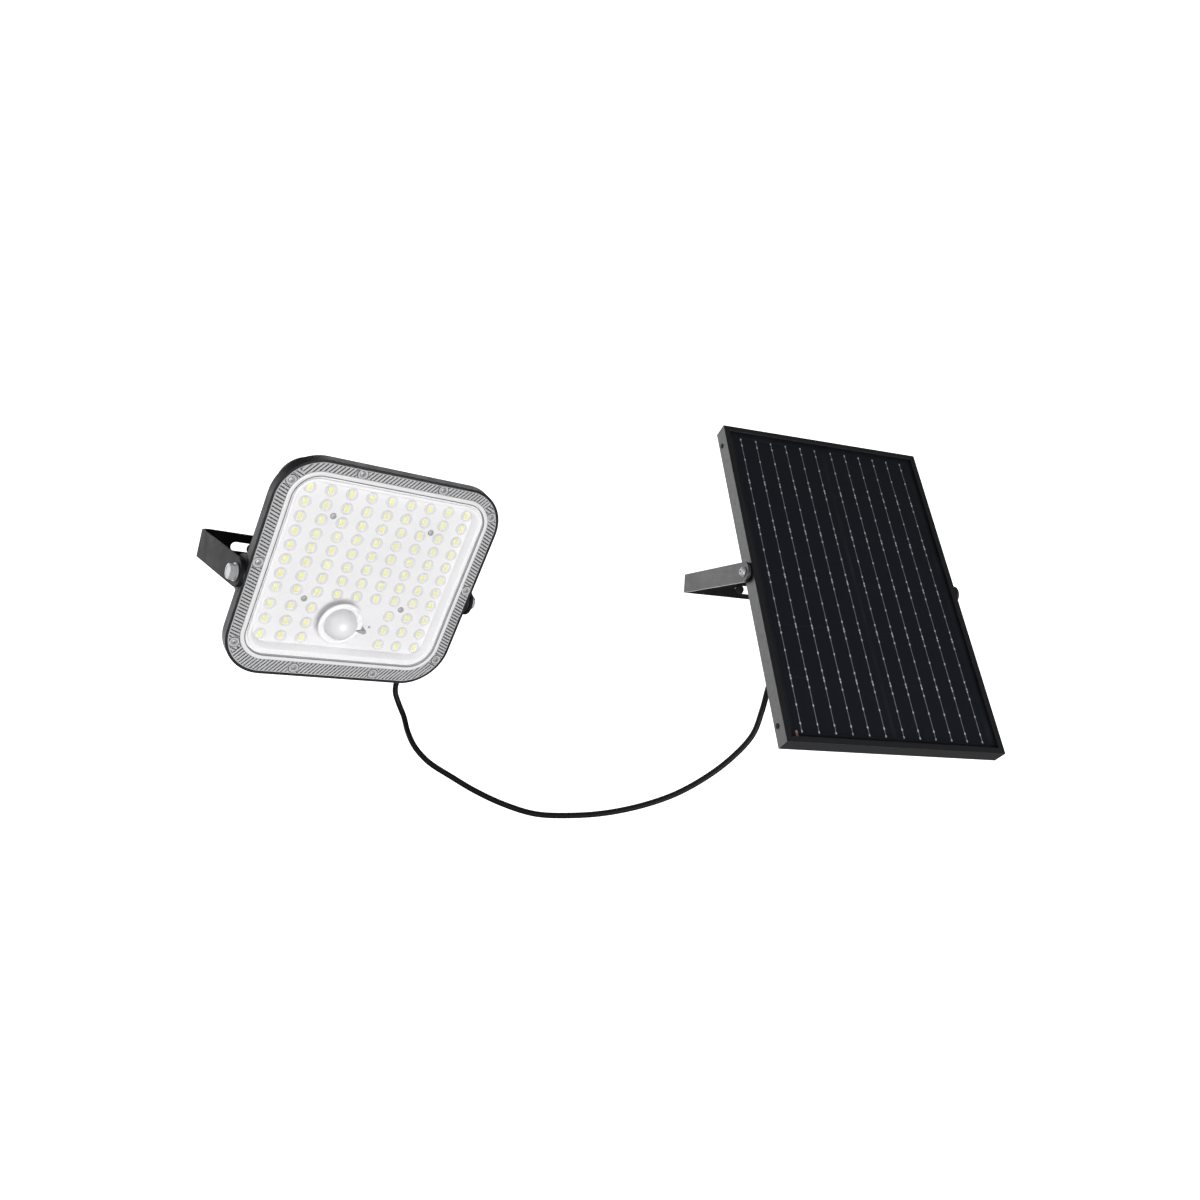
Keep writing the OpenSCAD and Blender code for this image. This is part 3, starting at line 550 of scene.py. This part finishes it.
def tube_rings(line, radius, sides=20):
    """Rings along a line, carried forward without twist."""
    up = Vector((0.31, 0.83, 0.46))
    rings = []
    for i, point in enumerate(line):
        along = (line[min(i + 1, len(line) - 1)] - line[max(i - 1, 0)]).normalized()
        across = up.cross(along).normalized()
        up = along.cross(across).normalized()
        rings.append([point + radius * (math.cos(2 * math.pi * k / sides) * across
                                        + math.sin(2 * math.pi * k / sides) * up)
                      for k in range(sides)])
    return rings


def build_cable():
    """The cable in two pieces that meet in its sag; each ends at the strain relief of one head."""
    lamp_ends = [LAMP @ (Vector(LAMP_RELIEF_END) - Vector((0, 0, e))) for e in (0, 10)]
    panel_ends = [PANEL @ (Vector(PANEL_RELIEF_END) - Vector((0, 0, e))) for e in (10, 0)]
    line = smooth_route(lamp_ends + [Vector(p) for p in HANGING_ROUTE] + panel_ends)
    split = CURVE_STEPS * (SAG_POINT + 2)
    for name, part, body, node in (
            ("cable_to_lamp", line[:split + 1], "lamp_head", "cable_lamp_side"),
            ("cable_to_panel", line[split:], "panel_head", "cable_panel_side")):
        shape = Shape()
        shape.stack(tube_rings(part, CABLE_D / 2))
        piece = make(name, shape, ROW, [MATERIALS["cable_jacket"]], None, (node,))
        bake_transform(piece)


def relief_profile(length, thin, thick, ribs):
    """Taper from the cable's end (height 0) to the gland, with flexing grooves."""
    profile = [(thin - 0.5, 0.0), (thin, 0.5)]
    steps = ribs * 4
    for k in range(steps + 1):
        t = k / steps
        groove = 0.45 if k % 4 in (1, 2) and t < 0.86 else 0.0
        profile.append((thin + (thick - thin) * t - groove, 1.0 + (length - 1.0) * t))
    return profile


def build_reliefs():
    """The tapered, grooved sleeves where the cable leaves each head."""
    for name, frame_at, at, length, body, node in (
            ("lamp_strain_relief", LAMP, LAMP_RELIEF_END, 20, "lamp_head", "lamp_relief"),
            ("panel_strain_relief", PANEL, PANEL_RELIEF_END, 22, "panel_head",
             "junction_relief")):
        shape = Shape()
        shape.turned(Matrix.Translation(Vector(at)), relief_profile(length, 3.2, 4.6, 9), 28)
        make(name, shape, frame_at, [MATERIALS["rubber_black"]], body, (node,))


def fluted(count, depth, low, high):
    """Radius rule for a nut with grip flutes between two heights."""
    def rule(a, r, h):
        cut = depth * (0.5 + 0.5 * math.cos(count * a)) ** 2 if low < h < high else 0.0
        return r - cut
    return rule


def build_gland_nuts():
    """The fluted cap nuts of both glands, and the hexagon under the panel's."""
    nuts = (("lamp_cap_nut", LAMP, (GLAND[0], GLAND[1], GLAND[2] - 8), "lamp_head",
             "lamp_gland_nut", 7.2, 5.0),
            ("panel_cap_nut", PANEL, (BOX_GLAND[0], BOX_GLAND[1], -14), "panel_head",
             "junction_gland_nut", 6.8, 12.0))
    for name, frame_at, at, body, node, r, h in nuts:
        shape = Shape()
        profile = [(r - 2.2, 0), (r - 1.6, 0.3), (r - 0.4, 1.4), (r, 1.9), (r, h - 0.5),
                   (r - 0.5, h)]
        shape.turned(Matrix.Translation(Vector(at)), profile, 96,
                     fluted(16, 0.5, 1.0, h - 0.3))
        if node == "junction_gland_nut":
            base = Matrix.Translation(Vector(at) + Vector((0, 0, 12)))
            shape.turned(base, [(7.0, 0), (7.4, 0.3), (7.4, 2.6), (7.0, 3.0)], 72, hexagon(6.4))
        make(name, shape, frame_at, [MATERIALS["nylon_black"]], body, (node,))


# ---- Lamp head pieces ----

def hexagon(apothem, turn=0.0, chamfer=None, top=0.0):
    """Radius rule for a hexagon whose corners are cut back by a cone near its top."""
    def rule(a, r, h):
        off = (a - turn + math.pi / 6) % (math.pi / 3) - math.pi / 6
        reach = apothem / math.cos(off)
        limit = r
        if chamfer is not None and h > top - chamfer:
            limit = apothem + (top - h) * 1.75
        return min(reach, limit)
    return rule


def smoothstep(t):
    t = min(1.0, max(0.0, t))
    return t * t * (3 - 2 * t)


def boss_distance(p):
    return min(math.hypot(p.x - x, p.z - z) for x, z in COVER_SCREWS)


def ridge_wave(p, across):
    """Where a point lies between one ridge and the next; the ridges turn at each corner."""
    if abs(across.z) > abs(across.x):
        wave = (p.x - RIDGE_SLANT * p.z) / RIDGE_PITCH
    else:
        wave = (p.z + SIDE_SLANT * p.x) / SIDE_PITCH
    return wave - math.floor(wave)


def flange_row(outer, inner, t):
    """Points part of the way in across the flange, raised on ridges and screw bosses."""
    edge = smoothstep(t / 0.08) * smoothstep((1 - t) / 0.06)
    row = []
    for a, b in zip(outer, inner):
        p = a.lerp(b, t)
        near = boss_distance(p)
        boss = 0.5 * smoothstep((5.4 - near) / 0.8) - 0.3 * smoothstep((3.9 - near) / 0.5)
        high = smoothstep(2 * abs(ridge_wave(p, a - b) - 0.2))
        ridge = RIDGE_RISE * high * smoothstep((near - 5.6) / 1.2)
        row.append(p - Vector((0, (ridge + boss) * edge, 0)))
    return row


def build_flange():
    """The cover's flange, ridged outside and milky beside the raised window; its dark ridge flanks
    and lines are painted shade.
    """
    side_steps, corner_steps, widths = 330, 120, 18
    # Marks for the flange's faces; line and shade carry painted shadow and painted shade.
    clear, milky, line, shade = range(4)
    outer = outline(FLANGE, FLANGE_Y, 0, side_steps, corner_steps)
    inner = outline(RIBBED, FLANGE_Y, 0, side_steps, corner_steps)
    shape = Shape()
    rings = [shape.ring([p + Vector((0, deep, 0)) for p in outer]) for deep in (2.6, 0.5)]
    for n in range(widths + 1):
        rings.append(shape.ring(flange_row(outer, inner, 0.03 + 0.97 * n / widths)))
    for n, (a, b) in enumerate(zip(rings, rings[1:])):
        for i in range(len(a)):
            j = (i + 1) % len(a)
            p = (shape.points[a[i]] + shape.points[b[j]]) / 2
            near = boss_distance(p)
            # Painted shade: the far flank of each ridge, and a ring on the slope of each screw
            # boss.
            in_painted_shade = (near > 6 and ridge_wave(p, outer[i] - inner[i]) < 0.4) or 4.7 < near < 5.5
            shape.face((a[i], a[j], b[j], b[i]), shade if in_painted_shade and n > 2 else clear)
    last = rings[-1]
    # Painted shadow lines: a thin band at the ribs' inner edge, and the groove by the window.
    steps = ((0.05, 0.0, line), (0.35, 0.0, line), (0.5, 0.35, milky), (1.2, 0.55, milky),
             (3.7, 0.6, milky), (4.2, 0.3, milky), (4.3, -0.3, line), (4.75, -0.3, line),
             (4.85, 0.6, line))
    for inset, rise, mark in steps:
        this = shape.ring(outline(RIBBED, FLANGE_Y - rise, -inset, side_steps, corner_steps))
        shape.bridge(last, this, mark)
        last = this
    back = shape.ring(outline(RIBBED, FLANGE_BACK_Y, -4.85, side_steps, corner_steps))
    shape.bridge(last, back)
    shape.bridge(back, rings[0])
    make("cover_flange", shape, LAMP, [RIBBED_CLEAR, MILKY_CLEAR, SHADE_LINE, RIDGE_SHADE],
         "lamp_head", ("lamp_cover",), 60)


def build_window():
    """The raised clear window, a thin pane with a rolled edge."""
    shape = Shape()
    rings = [outline(PANE, y, grow)
             for y, grow in ((PANE_BACK_Y, -2.2), (PANE_BACK_Y, 0), (FLANGE_Y - 0.5, 0),
                             (FLANGE_Y - 1.1, -0.5), (WINDOW_Y + 0.05, -1.4),
                             (WINDOW_Y, -2.6), (WINDOW_Y, -10))]
    made = [shape.ring(r) for r in rings]
    for a, b in zip(made, made[1:]):
        shape.bridge(a, b)
    shape.fan(made[-1], (0, WINDOW_Y, PANE[3]))
    back = shape.ring(outline(PANE, PANE_BACK_Y, -4))
    shape.bridge(made[0], back)
    shape.fan(back, (0, PANE_BACK_Y, PANE[3]))
    make("cover_window", shape, LAMP, [MATERIALS["cover_clear"]], "lamp_head",
         ("lamp_cover",), 50)


def build_reflector():
    """White tray wall that slopes from the window's edge to the board, with its lip."""
    sizes = ((189, 175, 21), (191.2, 179.2, 23.6), (196, 184, 26), (196, 184, 26),
             (191.2, 179.2, 23.6), (189, 175, 21), (189, 175, 21), (187.5, 173.5, 20.2),
             (184.5, 170.5, 18.8), (183, 169, 18), (176.5, 162.5, 15))
    levels = (-6.2, -6.2, -6.2, -7.2, -7.2, -7.2, -8.8, -9.2, -9.2, -8.8, -1.3)
    shape = Shape()
    made = [shape.ring(outline((*size, 16), y)) for size, y in zip(sizes, levels)]
    made.append(shape.ring(outline((189, 175, 21, 16), -1.3)))
    for a, b in zip(made, made[1:] + made[:1]):
        shape.bridge(a, b)
    make("reflector_tray", shape, LAMP, [TRAY_WHITE], "lamp_head",
         ("reflector_frame",), 50)


def build_lenses():
    """A small clear lens over each light source, standing on the board; its lower wall is tinted
    grey as painted shade.
    """
    shape = Shape()
    profile = [(6.0, 0.0), (5.95, 1.0), (5.7, 2.0), (5.1, 2.9), (4.2, 3.5), (2.9, 3.85),
               (1.2, 3.98)]
    for x, z in LED_SPOTS:
        place = Matrix.Translation(Vector((x, LED_Y + 0.78, z))) @ FRONT
        made = [shape.ring(turned_ring(place, r, h, 28)) for r, h in profile]
        for n, (a, b) in enumerate(zip(made, made[1:])):
            # The three lowest bands take the grey wall material: painted shade at the lens edge.
            shape.bridge(a, b, 1 if n < 3 else 0)
        shape.fan(made[-1], place @ Vector((0, 0, 4.0)))
        shape.fan(made[0], place @ Vector((0, 0, 0)))
    make("led_lens_caps", shape, LAMP, [LENS_CLEAR, LENS_WALL_PAINTED_SHADE], "lamp_head",
         ("led_lenses",), 70)


def screw_profile(head, height):
    """A pan head of this radius and height, with a flat-floored recess."""
    return [(0.4, -1.0), (head - 0.4, -1.0), (head, -0.6), (head, height * 0.35),
            (head * 0.9, height * 0.75), (head * 0.66, height), (head * 0.36, height),
            (head * 0.30, height - 0.8), (0.2, height - 0.8)]


def cross_recess(depth_r):
    """Radius rule that gives the recess four lobes."""
    def rule(a, r, h):
        if r < depth_r:
            return r * (0.7 + 0.75 * abs(math.cos(2 * a)) ** 3)
        return r
    return rule


def build_screws():
    """The heads of the cover's screws and of the board's."""
    for name, spots, y, head, height, node in (
            ("cover_screw_heads", COVER_SCREWS, FLANGE_Y, 2.9, 1.1, "cover_screws"),
            ("board_screw_heads", BOARD_SCREWS, LED_Y + 0.8, 3.0, 1.8, "board_screws")):
        shape = Shape()
        for x, z in spots:
            place = Matrix.Translation(Vector((x, y, z))) @ FRONT
            shape.turned(place, screw_profile(head, height), 48, cross_recess(1.3))
        make(name, shape, LAMP, [DARK_STEEL], "lamp_head", (node,))


def build_leds():
    """White packages with a chamfered frame, and a slightly domed phosphor in each."""
    bodies, glow = Shape(), Shape()
    for x, z in LED_SPOTS:
        levels = ((2.8, 3.8, LED_Y + 0.8), (2.8, 3.8, LED_Y + 0.12), (2.68, 3.68, LED_Y),
                  (2.05, 3.1, LED_Y), (1.9, 2.95, LED_Y + 0.09))
        bodies.stack([corner_ring(x, z, hx, hz, 0.35, y) for hx, hz, y in levels])
        dome = ((1.9, 2.95, LED_Y + 0.28), (1.88, 2.9, LED_Y + 0.02), (1.5, 2.5, LED_Y - 0.1),
                (0.7, 1.7, LED_Y - 0.16))
        glow.stack([corner_ring(x, z, hx, hz, 0.3, y) for hx, hz, y in dome])
    make("led_frames", bodies, LAMP, [MATERIALS["package_white"]], "lamp_head",
         ("led_packages",))
    make("led_glow", glow, LAMP, [MATERIALS["phosphor"]], "lamp_head",
         ("led_phosphors",))


def fresnel(a, r, h):
    """Shallow dimples of the sensor's segmented lens."""
    lift = math.atan2(h, max(r, 0.01))
    if h < 1.5 or r < 0.5:
        return r
    cells = 12 if lift < 0.75 else 6
    dimple = abs(math.sin(cells * a / 2)) * abs(math.sin(lift * 4))
    return r * (1 - 0.012 * (1 - dimple))


def build_sensor():
    """The milky dome of the motion sensor, and the collar round it."""
    place = Matrix.Translation(Vector((DOME_SPOT[0], 0, DOME_SPOT[1]))) @ FRONT
    dome = Shape()
    front = 10.4
    profile = [(DOME_R - 0.2, front - 0.9), (DOME_R, front - 0.4)]
    steps = 26
    for k in range(steps):
        a = math.radians(8 + 81 * k / (steps - 1))
        profile.append((DOME_R * math.cos(a), front - 2 + DOME_R * math.sin(a)))
    dome.turned(place, profile, 96, lambda a, r, h: fresnel(a, r, h - front + 2))
    make("sensor_lens", dome, LAMP, [MATERIALS["dome_milky"]], "lamp_head",
         ("sensor_dome",), 60)
    collar = Shape()
    rim = 10.2
    ring = [(COLLAR_R, rim - 0.4), (COLLAR_R, rim + 0.2), (COLLAR_R - 0.5, rim + 0.85),
            (COLLAR_R - 1.6, rim + 1.2), (DOME_R + 2.6, rim + 1.2), (DOME_R + 1.8, rim + 0.9),
            (DOME_R + 1.2, rim + 0.1), (DOME_R + 0.5, rim - 0.6), (DOME_R - 0.9, rim - 1.4),
            (DOME_R - 0.9, 2.0), (DOME_R + 1.2, 2.0), (DOME_R + 1.4, rim - 0.6),
            (COLLAR_R - 0.4, rim - 0.6)]
    made = collar.stack([turned_ring(place, r, h, 72) for r, h in ring], closed=False)
    collar.bridge(made[-1], made[0])
    make("sensor_ring", collar, LAMP, [MATERIALS["white_plastic"]], "lamp_head",
         ("sensor_collar",), 50)


def build_light_sensor():
    """Teardrop window of the daylight sensor, and the small status lamp."""
    shape = Shape()
    x, z = LIGHT_SPOT
    rings = []
    for grow, y in ((0, -1.0), (0, -13.0), (-0.25, -13.35), (-0.9, -13.5)):
        ring = []
        for k in range(40):
            a = 2 * math.pi * k / 40
            reach = 2.3 + grow
            tail = max(0.0, -math.cos(a)) ** 3 * 5.4
            ring.append(Vector((x + reach * math.cos(a) - tail, y,
                                z + reach * math.sin(a) * (1 - 0.12 * tail / 5.4))))
        rings.append(ring)
    shape.stack(rings)
    make("daylight_window", shape, LAMP, [MATERIALS["smoke_lens"]], "lamp_head",
         ("light_sensor",), 50)
    dot = Shape()
    place = Matrix.Translation(Vector((DOT_SPOT[0], 0, DOT_SPOT[1]))) @ FRONT
    dot.turned(place, [(1.2, 1.2), (1.2, 2.2), (0.9, 2.6), (0.4, 2.75)], 24)
    make("status_dot", dot, LAMP, [MATERIALS["smoke_lens"]], "lamp_head",
         ("status_lamp",))


def both(build):
    """Builds something at the right-hand end of an axis, then at the left-hand end."""
    for side, turn in ((1, RIGHT), (-1, LEFT)):
        build(side, turn)


def build_lamp_bolts():
    """A hexagon bolt on a flat washer at each end of the lamp's tilt axis."""
    bolts, washers = Shape(), Shape()
    washer = 1.5

    def one(side, turn):
        place = Matrix.Translation(Vector((side * LAMP_SEAT_X, 0, 0))) @ turn
        washers.turned(place, [(7.6, 0.0), (8.2, 0.1), (8.3, 0.4), (8.3, 1.1), (8.05, 1.45),
                               (4.2, washer)], 48)
        top = washer + 5.3
        heights = [1.7] + [top - 1.6 + 0.2 * k for k in range(9)]
        profile = ([(7.2, washer)] + [(7.5, h) for h in heights]
                   + [(5.0, top), (4.7, top - 0.25), (1.0, top - 0.3)])
        rule = hexagon(6.5, math.radians(12), 1.4, top)
        bolts.turned(place, profile, 96,
                     lambda a, r, h: rule(a, r, h) if r > 5.2 else r)
        bolts.turned(place, [(3.9, -18.0), (4.0, -17.4), (4.0, 1.6)], 32)
    both(one)
    make("lamp_hex_bolts", bolts, LAMP, [MATERIALS["zinc_steel"]], "lamp_head",
         ("lamp_bolts",))
    make("lamp_flat_washers", washers, LAMP, [MATERIALS["zinc_steel"]], "lamp_head",
         ("lamp_washers",))


def build_panel_bolts():
    """A button-head bolt on a flat washer at each end of the panel's tilt axis."""
    bolts, washers = Shape(), Shape()

    def one(side, turn):
        place = Matrix.Translation(Vector((side * PANEL_SEAT_X, 0, 0))) @ turn
        washers.turned(place, [(4.6, 0.0), (5.0, 0.15), (5.0, 0.65), (4.8, 0.8), (2.6, 0.8)], 40)
        head = [(4.3, 0.85), (4.6, 1.0), (4.55, 1.6), (4.1, 2.5), (3.3, 3.2), (2.4, 3.6),
                (1.75, 3.65), (1.55, 3.5), (1.5, 2.1), (0.3, 2.0)]
        bolts.turned(place, head, 72,
                     lambda a, r, h: hexagon(1.35)(a, 9, h) if 1.4 < r < 1.6 else r)
        bolts.turned(place, [(2.4, -12.0), (2.5, -11.6), (2.5, 0.9)], 24)
    both(one)
    make("panel_button_bolts", bolts, PANEL, [MATERIALS["zinc_steel"]], "panel_head",
         ("panel_bolts",))
    make("panel_flat_washers", washers, PANEL, [MATERIALS["zinc_steel"]], "panel_head",
         ("panel_washers",))


def build_plugs():
    """The round plugs in the slots of both crossbars."""
    for name, frame_at, (x, arm), node in (
            ("lamp_slot_plugs", LAMP_BRACKET, LAMP_PLUG, "lamp_bracket_plugs"),
            ("panel_slot_plugs", PANEL_BRACKET, PANEL_PLUG, "panel_bracket_plugs")):
        shape = Shape()
        for side in (-1, 1):
            place = Matrix.Translation(Vector((side * x, arm - 3, 0))) @ FRONT
            shape.turned(place, [(4.1, -2.5), (4.4, -2.1), (4.4, 0), (5.4, 0.05), (5.4, 0.6),
                                 (5.1, 1.2), (4.2, 1.6), (1.0, 1.6)], 40)
        make(name, shape, frame_at, [MATERIALS["rubber_black"]], "brackets",
             (node,))


# ---- Panel pieces ----

def bead(shape, x, z):
    """A flattened drop of solder, longer along the ribbon."""
    place = (Matrix.Translation(Vector((x, RIBBON_Y + 0.08, z))) @ FRONT
             @ Matrix.Diagonal((1, 1.9, 1, 1)))
    shape.turned(place, [(0.8, 0.0), (0.76, 0.06), (0.5, 0.12), (0.15, 0.15)], 12, None, 1)


def build_bus_ribbons():
    """Black-faced ribbons across the ends of the columns, and the bare copper tab."""
    bus, tab = Shape(), Shape()
    top, low = CELLS_HIGH, CELLS_LOW
    deep = (RIBBON_Y, RIBBON_Y + 0.2)
    bus.block((-101, deep[0], top), (101, deep[1], top + 2.5), 0.05)
    for x in (-55, 55):
        bus.block((x - 46, deep[0], low - 2.5), (x + 46, deep[1], low), 0.05)
    tab.block((-107, deep[0], low - 4), (-104.6, deep[1], low + 2), 0.06)
    make("bus_ribbons", bus, PANEL, [MATERIALS["back_black"]], "panel_head",
         ("end_ribbons",))
    make("copper_tab", tab, PANEL, [MATERIALS["ribbon_copper"]], "panel_head",
         ("end_ribbons",))


def build_ribbons():
    """Twelve soldered ribbons, each with a bead of solder at every pad."""
    shape = Shape()
    for column in (-55, 55):
        for k in range(6):
            x = column + (k - 2.5) * 18
            shape.block((x - 0.32, RIBBON_Y, CELLS_LOW), (x + 0.32, RIBBON_Y + 0.2, CELLS_HIGH),
                        0.05)
            for cell in range(6):
                for step in (1.5, 9.5, 28.5, 47.5, 55.5):
                    bead(shape, x, CELLS_LOW + cell * CELL_PITCH + step)
    make("soldered_ribbons", shape, PANEL, [MATERIALS["ribbon"], SOLDER], "panel_head",
         ("cell_ribbons",))


add_camera()
build_cable()
build_reliefs()
finish_nodes()
add_lights()
add_stage()
build_gland_nuts()
build_flange()
build_window()
build_reflector()
build_lenses()
build_screws()
build_leds()
build_sensor()
build_light_sensor()
build_lamp_bolts()
build_panel_bolts()
build_plugs()
build_ribbons()
build_bus_ribbons()
bpy.context.scene.view_settings.view_transform = "Standard"
